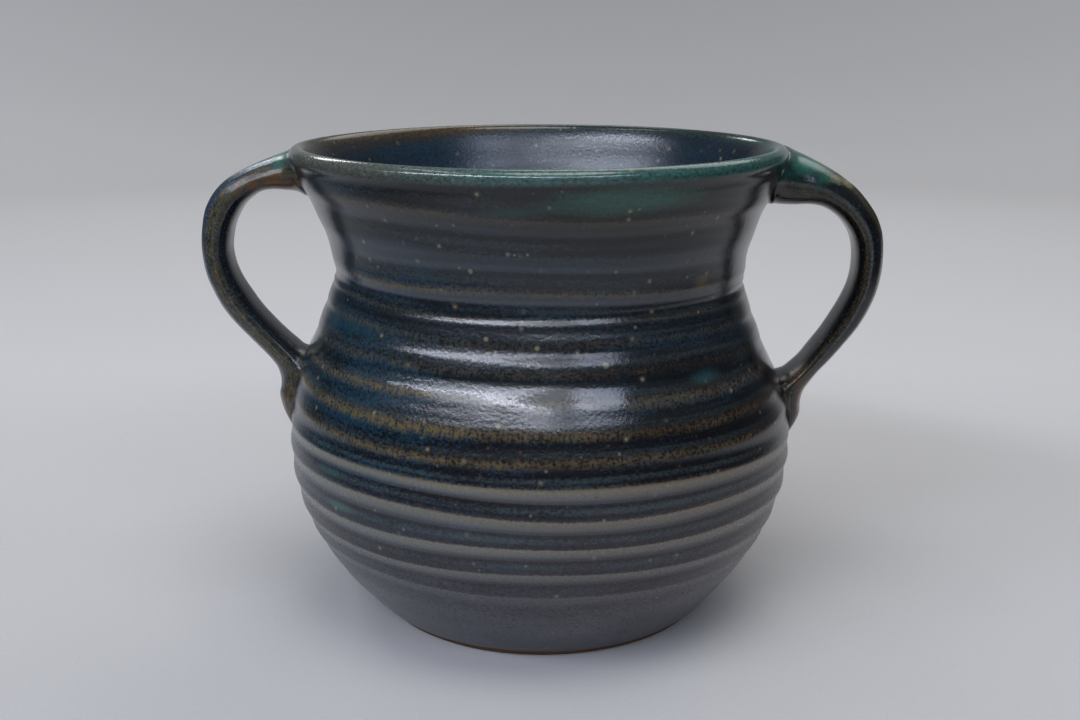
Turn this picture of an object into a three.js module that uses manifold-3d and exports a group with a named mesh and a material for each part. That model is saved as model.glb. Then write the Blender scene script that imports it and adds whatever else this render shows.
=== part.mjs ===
// Two-handled vase: a thrown pot with two pulled strap handles luted to it.
// Millimetres, +Z up. The origin is the centre of the foot, on the surface the vase stands on.
// +X points to the right handle and the photographed front faces -Y.

import * as THREE from 'three';
import { mergeVertices } from 'three/addons/utils/BufferGeometryUtils.js';
import Module from 'manifold-3d';

const wasm = await Module();
wasm.setup();

// Driving dimensions of the thrown pot
const crestHeight = 117;
const rimRadius = 60;
const beadRadius = 2.6;
const neckRadius = 50.6;
const neckHeight = 84.5;
const bellyRadius = 63.4;
const bellyHeight = 44;
const footRadius = 41;
const wallThickness = 5;
const floorThickness = 7;

// Turned foot: a flat ring round a shallow recess, with a small bevel wiped clean of glaze
const footRingWidth = 7;
const footRecess = 2.5;
const recessFillet = 2;
const footBevel = 0.9;

// How far each curve of the wall runs on in its first or last direction, and the slopes at foot and rim
const footSlope = 42.5;
const footRun = 23;
const bellyFallRun = 12.5;
const bellyRiseRun = 16.5;
const neckFallRun = 10.5;
const neckRiseRun = 9;
const rimRun = 7;
const rimSlope = 74;

// Throwing rings: the height of each crest and how far a crest stands above its groove
const ringCrests = [16, 21.4, 27.6, 34.2, 41.3, 48.3, 54.6, 60.9, 66.4, 72.4, 77.8, 83.4, 88.9, 98, 107];
const ringRelief = 0.6;

// Driving dimensions of the two handles
const handleStandOut = 24.8;
const strapThickness = 6.9;
const strapBreadth = 13.5;
const rootBreadth = 20;
const tailBreadth = 17;
const tipThickness = 2.6;
const tipBreadth = 9;
const rootSink = 4;
const tipSlope = 75;

// Centre line of each handle: drops are below the rim's crest, heights above the foot, and
// each run says how far the line keeps its direction before and after a named place
const leftHandle = {
  side: -1,
  rootThickness: 10,
  rootDrop: 5,
  rootRun: 5,
  crownRun: 20.6,
  peakDrop: 26,
  fallRun: 11.7,
  elbowHeight: 63,
  elbowStandOff: 5.1,
  elbowSlope: 52,
  elbowRun: 4,
  tailThickness: 5.6,
  tailRun: 3,
  tipHeight: 40,
  tipRun: 16,
  tipSink: 1.2,
};
const rightHandle = {
  side: 1,
  rootThickness: 12,
  rootDrop: 8.2,
  rootRun: 5,
  crownRun: 21.4,
  peakDrop: 28.7,
  fallRun: 10.7,
  elbowHeight: 62,
  elbowStandOff: 9,
  elbowSlope: 51,
  elbowRun: 9.5,
  tailThickness: 4.8,
  tailRun: 4,
  tipHeight: 42.5,
  tipRun: 16,
  tipSink: 1.5,
};

// Slip bed between a handle's end and the wall, and the gap each fired face keeps
const slipThickness = 1;
const seatGap = 0.3;

// Facets
const latheSegments = 48;
const strapSteps = 36;
const sectionPoints = 16;
const insideSteps = 7;

const glaze = { roughness: 0.3, metalness: 0 };
const bodyFinish = new THREE.MeshStandardMaterial({ color: 0x2c3a40, ...glaze });
const leftFinish = new THREE.MeshStandardMaterial({ color: 0x34434a, ...glaze });
const rightFinish = new THREE.MeshStandardMaterial({ color: 0x2a3331, ...glaze });
const slipFinish = new THREE.MeshStandardMaterial({ color: 0x5a4636, roughness: 0.7, metalness: 0 });

// A point that lies a run away from another, in a direction given in degrees above the outward radius
function along(point, degrees, run) {
  const angle = THREE.MathUtils.degToRad(degrees);
  return new THREE.Vector2(point.x + run * Math.cos(angle), point.y + run * Math.sin(angle));
}

function curve(start, startControl, endControl, end) {
  return new THREE.CubicBezierCurve(start, startControl, endControl, end);
}

// Outer wall as three curves, through the belly's and the neck's upright tangents
const beadCentre = new THREE.Vector2(rimRadius - beadRadius, crestHeight - beadRadius);
const beadStart = -55;
const footEdge = new THREE.Vector2(footRadius, footBevel);
const belly = new THREE.Vector2(bellyRadius, bellyHeight);
const neck = new THREE.Vector2(neckRadius, neckHeight);
const beadStep = 29;
const underBead = along(beadCentre, beadStart, beadRadius).add(new THREE.Vector2(-ringRelief, 0));
const outerWall = [
  curve(footEdge, along(footEdge, footSlope, footRun), along(belly, -90, bellyFallRun), belly),
  curve(belly, along(belly, 90, bellyRiseRun), along(neck, -90, neckFallRun), neck),
  curve(neck, along(neck, 90, neckRiseRun), along(underBead, rimSlope - 180, rimRun), underBead),
];

// Radius of a set of wall curves at a height
function radiusAt(curves, height) {
  const points = curves.flatMap((part) => part.getPoints(40));
  for (let i = 1; i < points.length; i++) {
    const below = points[i - 1];
    const above = points[i];
    if (height <= above.y && above.y > below.y) {
      const share = Math.max(0, (height - below.y) / (above.y - below.y));
      return THREE.MathUtils.lerp(below.x, above.x, share);
    }
  }
  return points[points.length - 1].x;
}

// Outer outline from the foot's bevel to the top of the rim, moved outwards by an offset
function outerOutline(offset) {
  const bead = [];
  for (let degrees = beadStart; degrees <= 90; degrees += beadStep) {
    bead.push(along(beadCentre, degrees, beadRadius + offset));
  }
  const wallPoint = (level, relief) =>
    new THREE.Vector2(radiusAt(outerWall, level) + relief * ringRelief + offset, level);
  const crests = ringCrests.filter((height) => height < bead[0].y - 2 * ringRelief);
  const wall = [new THREE.Vector2(footRadius + offset, footBevel), wallPoint(crests[0] / 2, 0)];
  crests.forEach((height, i) => {
    const next = i + 1 < crests.length ? crests[i + 1] : bead[0].y;
    for (const [share, relief] of [[0, 0.5], [0.25, 0], [0.5, -0.5], [0.75, 0]]) {
      wall.push(wallPoint(THREE.MathUtils.lerp(height, next, share), relief));
    }
  });
  return [...wall, ...bead];
}

function lathe(outline) {
  const geometry = new THREE.LatheGeometry(outline, latheSegments);
  geometry.rotateX(Math.PI / 2);
  return geometry;
}

// Solid of everything inside the outer wall, grown by an offset: it trims what is laid on the wall
function wallEnvelope(offset) {
  const outline = outerOutline(offset);
  const top = outline[outline.length - 1].y;
  return lathe([new THREE.Vector2(0, -offset), new THREE.Vector2(footRadius, -offset), ...outline,
    new THREE.Vector2(0, top)]);
}

// Thrown pot in one piece: recessed foot, ringed wall, rolled rim and smooth inside
function thrownBody() {
  const recessRadius = footRadius - footBevel - footRingWidth;
  const foot = [
    new THREE.Vector2(0, footRecess),
    new THREE.Vector2(recessRadius - recessFillet, footRecess),
    new THREE.Vector2(recessRadius, footRecess - recessFillet),
    new THREE.Vector2(recessRadius, 0),
    new THREE.Vector2(footRadius - footBevel, 0),
  ];
  const beadInside = [125, 160].map((degrees) => along(beadCentre, degrees, beadRadius));
  const mouth = new THREE.Vector2(rimRadius - 2 * beadRadius, beadCentre.y - beadRadius);
  const innerNeck = new THREE.Vector2(neckRadius - wallThickness, neckHeight);
  const innerBelly = new THREE.Vector2(bellyRadius - wallThickness, bellyHeight);
  const floor = new THREE.Vector2(0, floorThickness);
  const floorCorner = along(floor, 0, footRadius + wallThickness);
  const inside = [
    curve(mouth, along(mouth, rimSlope - 180, rimRun), along(innerNeck, 90, neckRiseRun), innerNeck),
    curve(innerNeck, along(innerNeck, -90, neckFallRun), along(innerBelly, 90, bellyRiseRun), innerBelly),
    curve(innerBelly, along(innerBelly, -90, bellyFallRun), floorCorner, floor),
  ];
  const innerOutline = inside.flatMap((part, i) => part.getPoints(insideSteps).slice(i === 0 ? 0 : 1));
  return lathe([...foot, ...outerOutline(0), ...beadInside, ...innerOutline]);
}

// Centre line of a handle in the plane of the two handles, from inside the rim to inside the belly
function handleLine(handle) {
  const rootHeight = crestHeight - handle.rootDrop;
  const root = new THREE.Vector2(radiusAt(outerWall, rootHeight) - rootSink, rootHeight);
  const reach = rimRadius + handleStandOut;
  const peak = new THREE.Vector2(reach - strapThickness / 2, crestHeight - handle.peakDrop);
  const elbowWall = radiusAt(outerWall, handle.elbowHeight);
  const elbow = new THREE.Vector2(elbowWall + handle.elbowStandOff, handle.elbowHeight);
  const tip = new THREE.Vector2(radiusAt(outerWall, handle.tipHeight) - handle.tipSink, handle.tipHeight);
  const intoElbow = along(elbow, handle.elbowSlope, handle.elbowRun);
  const outOfElbow = along(elbow, handle.elbowSlope - 180, handle.tailRun);
  return [
    curve(root, along(root, 0, handle.rootRun), along(peak, 90, handle.crownRun), peak),
    curve(peak, along(peak, -90, handle.fallRun), intoElbow, elbow),
    curve(elbow, outOfElbow, along(tip, tipSlope, handle.tipRun), tip),
  ];
}

// Thickness and breadth of the strap along its three curves, eased between named places
function strapSize(handle, place) {
  const sizes = [
    [0, handle.rootThickness, rootBreadth],
    [0.25, handle.rootThickness, rootBreadth],
    [0.8, strapThickness, strapBreadth],
    [1.8, strapThickness, strapBreadth],
    [2.5, handle.tailThickness, tailBreadth],
    [2.75, (handle.tailThickness + tipThickness) / 2, (tailBreadth + tipBreadth) / 2],
    [3, tipThickness, tipBreadth],
  ];
  const after = Math.max(1, sizes.findIndex(([station]) => station >= place));
  const [start, thinStart, broadStart] = sizes[after - 1];
  const [end, thinEnd, broadEnd] = sizes[after];
  const share = THREE.MathUtils.smoothstep(place, start, end);
  return {
    thickness: THREE.MathUtils.lerp(thinStart, thinEnd, share),
    breadth: THREE.MathUtils.lerp(broadStart, broadEnd, share),
  };
}

// Pulled strap: a rounded section, fuller outside than inside, carried along the centre line
function strap(handle) {
  const line = handleLine(handle);
  const positions = [];
  const faces = [];
  for (let step = 0; step <= strapSteps; step++) {
    const place = (line.length * step) / strapSteps;
    const part = Math.min(line.length - 1, Math.floor(place));
    const centre = line[part].getPoint(place - part);
    const tangent = line[part].getTangent(place - part);
    const outward = new THREE.Vector2(-tangent.y, tangent.x);
    const { thickness, breadth } = strapSize(handle, place);
    for (let corner = 0; corner < sectionPoints; corner++) {
      const angle = (2 * Math.PI * corner) / sectionPoints;
      const lift = Math.sin(angle);
      const spread = Math.sign(Math.cos(angle)) * Math.abs(Math.cos(angle)) ** (lift < 0 ? 0.6 : 0.85);
      const across = (thickness / 2) * Math.sign(lift) * Math.abs(lift) ** 0.9;
      positions.push(handle.side * (centre.x + outward.x * across), spread * breadth / 2,
        centre.y + outward.y * across);
      if (step > 0) {
        const next = (corner + 1) % sectionPoints;
        const here = step * sectionPoints;
        const back = here - sectionPoints;
        faces.push(back + corner, here + corner, here + next, back + corner, here + next, back + next);
      }
    }
  }
  const last = strapSteps * sectionPoints;
  for (let corner = 1; corner < sectionPoints - 1; corner++) {
    faces.push(0, corner, corner + 1, last, last + corner + 1, last + corner);
  }
  if (handle.side > 0) {
    faces.reverse();
  }
  const geometry = new THREE.BufferGeometry();
  geometry.setAttribute('position', new THREE.Float32BufferAttribute(positions, 3));
  geometry.setIndex(faces);
  return geometry;
}

function solidOf(geometry) {
  const bare = geometry.clone();
  bare.deleteAttribute('normal');
  bare.deleteAttribute('uv');
  const merged = mergeVertices(bare, 1e-4);
  return new wasm.Manifold(new wasm.Mesh({
    numProp: 3,
    vertProperties: new Float32Array(merged.attributes.position.array),
    triVerts: new Uint32Array(merged.index.array),
  }));
}

function geometryOf(solid) {
  const mesh = solid.getMesh();
  const geometry = new THREE.BufferGeometry();
  geometry.setAttribute('position', new THREE.BufferAttribute(mesh.vertProperties, 3));
  geometry.setIndex(new THREE.BufferAttribute(mesh.triVerts, 1));
  geometry.computeVertexNormals();
  return geometry;
}

const vase = new THREE.Group();

function add(name, geometry, material) {
  const mesh = new THREE.Mesh(geometry, material);
  mesh.name = name;
  vase.add(mesh);
}

add('thrown_body', thrownBody(), bodyFinish);

// Each handle ends on its slip beds, and each bed lies on the wall
const wallFace = solidOf(wallEnvelope(seatGap));
const bedFace = solidOf(wallEnvelope(seatGap + slipThickness));
const handleFace = solidOf(wallEnvelope(slipThickness + 2 * seatGap));

function addHandle(name, handle, material) {
  const whole = solidOf(strap(handle));
  add(`${name}_handle`, geometryOf(whole.subtract(handleFace)), material);
  const beds = bedFace.subtract(wallFace).intersect(whole).decompose();
  beds.sort((one, other) => other.boundingBox().max[2] - one.boundingBox().max[2]);
  const [upper, lower] = [beds[0], beds[beds.length - 1]];
  add(`${name}_upper_luting`, geometryOf(upper), slipFinish.clone());
  add(`${name}_lower_luting`, geometryOf(lower), slipFinish.clone());
}

addHandle('left', leftHandle, leftFinish);
addHandle('right', rightHandle, rightFinish);

export default vase;
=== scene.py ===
import math

import bpy
import numpy as np
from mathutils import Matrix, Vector


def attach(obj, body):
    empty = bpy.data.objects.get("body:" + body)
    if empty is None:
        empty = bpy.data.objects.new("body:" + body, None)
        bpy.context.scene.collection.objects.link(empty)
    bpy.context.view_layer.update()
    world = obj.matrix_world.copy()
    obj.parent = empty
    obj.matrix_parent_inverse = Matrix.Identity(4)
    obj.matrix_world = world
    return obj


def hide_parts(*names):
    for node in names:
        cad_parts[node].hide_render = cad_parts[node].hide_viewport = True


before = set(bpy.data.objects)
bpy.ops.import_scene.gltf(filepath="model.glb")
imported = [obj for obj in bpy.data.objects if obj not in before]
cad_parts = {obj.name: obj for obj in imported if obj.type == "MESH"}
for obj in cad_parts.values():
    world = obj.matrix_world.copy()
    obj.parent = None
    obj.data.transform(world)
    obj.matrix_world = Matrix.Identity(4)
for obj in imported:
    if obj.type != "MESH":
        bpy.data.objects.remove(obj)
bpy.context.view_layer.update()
print("frame loaded")

mm = 0.001  # every size below is written in millimetres
levelSpan = 120  # height in mm over which the glaze tones are written


def linear(hexColour):
    parts = [int(hexColour[i:i + 2], 16) / 255 for i in (1, 3, 5)]
    return [c / 12.92 if c <= 0.04045 else ((c + 0.055) / 1.055) ** 2.4 for c in parts] + [1.0]


def node(tree, kind, settings=None, output=0):
    # adds a node: a setting that is another node's output is linked, and any other is set
    made = tree.nodes.new("ShaderNode" + kind)
    for name, value in (settings or {}).items():
        if isinstance(value, bpy.types.NodeSocket):
            tree.links.new(value, made.inputs[name])
        elif isinstance(name, int) or name in made.inputs:
            made.inputs[name].default_value = value
        else:
            setattr(made, name, value)
    return made.outputs[output]


def bandsFrom(tree, source, stops, span=1):
    # a colour ramp over a length, its stops given in the units of that length
    ramp = node(tree, "ValToRGB", {"Fac": source})
    elements = ramp.node.color_ramp.elements
    while len(elements) < len(stops):
        elements.new(0.5)
    for i, (place, value) in enumerate(stops):
        elements[i].position = place / span
        elements[i].color = linear(value) if isinstance(value, str) else (value, value, value, 1)
    return ramp


def newMaterial(name):
    made = bpy.data.materials.new(name)
    made.use_nodes = True
    return made, made.node_tree, made.node_tree.nodes["Principled BSDF"]


def smooth(edge0, edge1, value):
    t = np.clip((value - edge0) / (edge1 - edge0), 0, 1)  # runs from 0 at edge0 to 1 at edge1
    return t * t * (3 - 2 * t)


def curveThrough(stations, pieces):
    # a smooth line through the stations, the same number of short pieces between each two
    p = np.array(stations, float)
    p = np.vstack([2 * p[0] - p[1], p, 2 * p[-1] - p[-2]])
    rows = []
    for i in range(1, len(p) - 2):
        for t in np.arange(pieces) / pieces:
            a, b, c, d = p[i - 1:i + 3]
            rows.append(0.5 * (2 * b + (c - a) * t + (2 * a - 5 * b + 4 * c - d) * t ** 2
                               + (3 * b - a - 3 * c + d) * t ** 3))
    rows.append(p[-2])
    return np.array(rows)


def evenly(line, gap):
    # the same line with its points a fixed distance apart, measured over the first two columns
    steps = np.hypot(*np.diff(line[:, :2], axis=0).T)
    at = np.concatenate([[0], np.cumsum(steps)])
    wanted = np.linspace(0, at[-1], max(int(round(at[-1] / gap)), 1) + 1)
    return np.column_stack([np.interp(wanted, at, line[:, k]) for k in range(line.shape[1])])


def deselectAll():
    if bpy.context.mode != "OBJECT":
        bpy.ops.object.mode_set(mode="OBJECT")
    bpy.ops.object.select_all(action="DESELECT")


def pointsOf(thing):
    co = np.empty(len(thing.data.vertices) * 3)
    thing.data.vertices.foreach_get("co", co)
    return co.reshape(-1, 3) / mm


def putPoints(thing, co):
    thing.data.vertices.foreach_set("co", (co * mm).ravel())
    thing.data.update()


def putAttribute(thing, name, values):
    made = thing.data.attributes.new(name, "FLOAT", "POINT")
    made.data.foreach_set("value", values.astype(np.float32))


# Camera: the photograph's viewing point, lens and tilt
cameraPlace = {"x": -0.57, "y": -343.2, "z": 149.15, "tilt": 14.24, "lens": 46.25, "sensor": 36.0}

bpy.ops.object.select_all(action="DESELECT")
bpy.ops.object.camera_add(
    location=(cameraPlace["x"] * mm, cameraPlace["y"] * mm, cameraPlace["z"] * mm),
    rotation=(math.radians(90 - cameraPlace["tilt"]), 0, 0))
camera = bpy.context.object
camera.name = "camera"
camera.data.lens = cameraPlace["lens"]
camera.data.sensor_width = cameraPlace["sensor"]
camera.data.clip_start = 0.01
bpy.context.scene.camera = camera
print("camera placed")

# Studio: a round paper sweep, windows in front to the left and right, soft light from above and behind
studio = {
    "floorRadius": 900.0, "coveRadius": 420.0, "coveSteps": 14, "wallRise": 60.0, "floorDrop": 0.2,
    "paperDark": "#b0b0b1", "paperLight": "#b7b7b8", "surround": "#47474a",
    # where the paper fades out at each side of the pot, and how fast it widens towards the back
    "leftEdge": (170, 320), "rightEdge": (240, 400), "frontEdge": (260, 480), "spreads": 0.42,
    "worldGrey": "#a2a3a6", "worldStrength": 0.42,
    # half the brightness painted into the paper along its length, a painted shade from in front of the pot
    # to the far wall
    "lengthFrom": -200, "lengthTo": 1300,
    "lengthShades": [(-200, 0.5), (-60, 0.48), (30, 0.49), (230, 0.58), (700, 0.58), (950, 0.53),
                     (1250, 0.41)],
    "lamps": [
        {"name": "leftWindow", "azimuth": -46, "elevation": 37, "away": 1500, "wide": 1150, "tall": 320,
         "watts": 5.4, "colour": "#e8eeff"},
        {"name": "leftPane", "azimuth": -35, "elevation": 39, "away": 1480, "wide": 2500, "tall": 56,
         "watts": 11.0, "colour": "#e8eeff"},
        {"name": "rightWindow", "azimuth": 32, "elevation": 36, "away": 1500, "wide": 600, "tall": 260,
         "watts": 2.6, "colour": "#dde6ff"},
        {"name": "rightCurtain", "azimuth": 0, "elevation": 37, "away": 1520, "wide": 1400, "tall": 330,
         "watts": 3.2, "colour": "#eef3ff"},
        {"name": "leftSkylight", "azimuth": -85, "elevation": 63, "away": 1300, "wide": 1000, "tall": 70,
         "watts": 1.3, "colour": "#ffffff"},
        {"name": "backLeft", "azimuth": -150, "elevation": 30, "away": 1500, "wide": 500, "tall": 160,
         "watts": 1.8, "colour": "#ffffff"},
        {"name": "ceiling", "azimuth": 20, "elevation": 74, "away": 1250, "wide": 800, "tall": 700,
         "watts": 6.2, "colour": "#fffdf9"},
        {"name": "overhead", "azimuth": 150, "elevation": 48, "away": 1300, "wide": 1300, "tall": 800,
         "watts": 4.6, "colour": "#fffdf9"},
    ],
}


def buildSweep():
    bpy.ops.mesh.primitive_circle_add(vertices=128, radius=studio["floorRadius"] * mm, fill_type="NGON",
                                      location=(0, 0, -studio["floorDrop"] * mm))
    floor = bpy.context.object
    floor.name = "floor"
    bpy.ops.object.mode_set(mode="EDIT")
    bpy.ops.mesh.select_mode(type="EDGE")
    bpy.ops.mesh.select_all(action="SELECT")
    bpy.ops.mesh.region_to_loop()
    radius = studio["floorRadius"]
    for i in range(studio["coveSteps"]):
        a0 = math.pi / 2 * i / studio["coveSteps"]
        a1 = math.pi / 2 * (i + 1) / studio["coveSteps"]
        grow = studio["coveRadius"] * (math.sin(a1) - math.sin(a0))
        rise = studio["coveRadius"] * (math.cos(a0) - math.cos(a1))
        bpy.ops.mesh.extrude_region_move(TRANSFORM_OT_translate={"value": (0, 0, rise * mm)})
        bpy.ops.transform.resize(value=((radius + grow) / radius, (radius + grow) / radius, 1))
        radius += grow
    bpy.ops.mesh.extrude_region_move(TRANSFORM_OT_translate={"value": (0, 0, studio["wallRise"] * mm)})
    bpy.ops.object.mode_set(mode="OBJECT")
    bpy.ops.object.transform_apply(location=True, rotation=True, scale=True)
    bpy.ops.object.shade_smooth()
    paper, tree, shader = newMaterial("matt_paper_sweep")  # dull and even, with a faint tooth
    shader.inputs["Roughness"].default_value = 0.9
    shader.inputs["Specular IOR Level"].default_value = 0.2
    spot = node(tree, "TexCoord", output="Object")
    grain = node(tree, "TexNoise", {"Scale": 900.0, "Detail": 3.0, "Vector": spot})
    tone = node(tree, "Mix", {"data_type": "RGBA", 6: linear(studio["paperDark"]),
                              7: linear(studio["paperLight"]), 0: grain}, output=2)
    # the paper is little wider than the view, and beyond it the sweep is painted dark grey, a painted shade
    # for the unlit room round it
    placeX, placeY, _ = node(tree, "SeparateXYZ", {0: spot}).node.outputs
    outer = None
    edges = ((-1, 1, studio["leftEdge"]), (1, 1, studio["rightEdge"]), (0, -1, studio["frontEdge"]))
    for sideways, backwards, (edgeFrom, edgeTo) in edges:
        out = node(tree, "Math", {"operation": "MULTIPLY", 1: float(sideways), 0: placeX})
        along = -studio["spreads"] if backwards > 0 else -1.0
        reach = node(tree, "Math", {"operation": "MULTIPLY_ADD", 1: along, 0: placeY, 2: out})
        edge = node(tree, "MapRange", {"From Min": edgeFrom * mm, "From Max": edgeTo * mm, "Value": reach})
        outer = node(tree, "Math", {"operation": "MAXIMUM", 0: outer, 1: edge}) if outer else edge
    # painted shade: the paper's colour is darkened towards both ends of the sweep, where the light falls
    # off, as it does in the photograph
    start, stop = studio["lengthFrom"], studio["lengthTo"]
    length = node(tree, "MapRange", {"From Min": start * mm, "From Max": stop * mm, "Value": placeY})
    stops = [(at - start, value) for at, value in studio["lengthShades"]]
    half = bandsFrom(tree, length, stops, stop - start)
    shade = node(tree, "Math", {"operation": "MULTIPLY", 1: 2.0, 0: half})
    shaded = node(tree, "VectorMath", {"operation": "SCALE", 0: tone, "Scale": shade})
    both = node(tree, "Mix", {"data_type": "RGBA", 7: linear(studio["surround"]), 0: outer, 6: shaded},
                output=2)
    tree.links.new(both, shader.inputs["Base Color"])
    rise = node(tree, "Bump", {"Strength": 0.08, "Distance": 0.0004, "Height": grain})
    tree.links.new(rise, shader.inputs["Normal"])
    floor.data.materials.append(paper)


def buildLamps():
    aim = Vector((0, 0, 60 * mm))
    for lamp in studio["lamps"]:
        a, e = math.radians(lamp["azimuth"]), math.radians(lamp["elevation"])
        away = Vector((math.sin(a) * math.cos(e), -math.cos(a) * math.cos(e), math.sin(e)))
        bpy.ops.object.light_add(type="AREA", location=aim + away * lamp["away"] * mm)
        made = bpy.context.object
        made.name = lamp["name"]
        made.rotation_euler = away.to_track_quat("Z", "Y").to_euler()
        made.data.shape = "ELLIPSE"
        made.data.size = lamp["wide"] * mm
        made.data.size_y = lamp["tall"] * mm
        made.data.energy = lamp["watts"]
        made.data.color = linear(lamp["colour"])[:3]
    world = bpy.data.worlds.new("studio")
    bpy.context.scene.world = world
    world.use_nodes = True
    world.node_tree.nodes["Background"].inputs["Color"].default_value = linear(studio["worldGrey"])
    world.node_tree.nodes["Background"].inputs["Strength"].default_value = studio["worldStrength"]


bpy.context.scene.view_settings.view_transform = "Standard"
buildSweep()
buildLamps()
print("studio built")

# Thrown body: one lathe-like wall, then the spiral of the throwing rings pressed into it
body = {
    "columns": 256,
    "outside": [(41.0, 0.9), (43.6, 3.0), (47.6, 7.5), (52.8, 14), (58.7, 24), (62.05, 34), (63.15, 44),
                (62.85, 49.3), (61.85, 55), (60.15, 60.7), (59.2, 63.1), (58.0, 65.6), (56.65, 68.2),
                (55.7, 70.2), (55.0, 72.4), (54.3, 74.6), (52.95, 77.4), (52.3, 79.8), (51.5, 82.3),
                (50.6, 85), (51.6, 92), (54.0, 100), (56.7, 107), (58.0, 110.5), (58.45, 112.3),
                (59.2, 113.7)],
    "lipCentre": (57.35, 114.85), "lipRadius": 2.1, "lipFrom": -20.0, "lipTo": 152.0,
    "inside": [(54.5, 113.6), (53.6, 111.2), (52.2, 107), (49.6, 100), (46.9, 92), (45.8, 84.5),
               (48.4, 74), (53.1, 64), (56.8, 54), (58.2, 44), (57.0, 34), (53.0, 24), (45.5, 16),
               (34.0, 11.2), (18.0, 9.4), (0.0, 9.0)],
    "under": [(0.0, 2.5), (20.0, 2.5), (31.5, 2.5), (33.4, 1.7), (34.4, 0.35), (35.2, 0.0), (37.6, 0.0),
              (40.1, 0.0), (40.7, 0.25), (41.0, 0.9)],
    "outsideGap": 0.52, "insideGap": 2.2,
    # throwing rings: height of each crest at the front, and how far it stands out from the groove under it
    "crests": [125, 116, 106.6, 98, 88.9, 83.4, 78.9, 72.5, 66.9, 60.6, 54.6, 49.3, 42.6, 35.4, 28.2, 22.3,
               15.8, 9, 3, -3],
    "relief": [0, 0, 0.28, 0.18, 0.3, 0.15, 0.12, 0.1, 0.05, 0.12, 0.2, 0.4, 0.52, 0.48, 0.4, 0.28, 0.08,
               0, 0, 0],
    # outline of one ring from the groove above its crest to the groove below it: place, share of the relief
    "ringShape": [(-0.58, 0.0), (-0.46, 0.1), (-0.28, 0.46), (-0.12, 0.84), (-0.03, 0.98), (0.03, 0.98),
                  (0.11, 0.8), (0.22, 0.42), (0.32, 0.1), (0.42, 0.0)],
    "spiral": 1.0,      # rings climbed in one turn of the wheel
    "climb": 7.5,       # the same climb in mm, for the ledges of the shoulder and the glaze tones
    "climbTurn": 1.8,   # they climb over this angle each side of the front and run back down behind
    "ledgeFrom": (52, 60), "ledgeTo": (82, 90),    # heights over which the ledges come in and go out
    "skin": 1.6, "footTop": 0.95,                  # how far in, and from what height, is the outside
    "reliefEnds": (109.5, 113.0), "insideFrom": (9, 26), "insideTo": (104, 112),
    "insideRelief": 0.3, "insideLift": 2.5, "insideTurn": 0.6,
    "innerFrom": (117.0, 115.6),                   # heights over which the lip turns into the inside
    "leftPull": 1.7, "rightPull": 1.1,             # how far the rim is drawn out towards each handle
    "pullWidth": 0.42, "pullHeights": (96, 114),
    "lean": -0.6, "leanHeights": (0, 12),          # the wall above the foot stands this far to the left
}


def ringTurn(height, around):
    # counts the rings downwards along the spiral, whole numbers on the crests
    crests = np.array(body["crests"], float)
    index = np.interp(-height, -crests, np.arange(len(crests)))
    wander = 0.05 * np.sin(2 * around + 1.9 * index) + 0.035 * np.sin(5 * around - 1.3 * index + 0.7)
    return index, index - body["spiral"] * around / (2 * math.pi) + wander


def ringRelief(turn):
    shape = curveThrough(body["ringShape"], 10)
    start = shape[0, 0]
    part = (turn - start) % 1 + start
    return np.interp(part, shape[:, 0], shape[:, 1])


def bodyProfile():
    outside = evenly(curveThrough(body["outside"], 24), body["outsideGap"])
    cx, cz = body["lipCentre"]
    angles = np.radians(np.linspace(body["lipFrom"], body["lipTo"], 18))
    r = body["lipRadius"]
    lip = np.column_stack([cx + r * np.cos(angles), cz + r * np.sin(angles)])
    inside = evenly(curveThrough([tuple(lip[-1])] + body["inside"], 16), body["insideGap"])
    under = np.array(body["under"], float)
    return np.vstack([under[:-1], outside, lip, inside[1:]])


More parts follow.
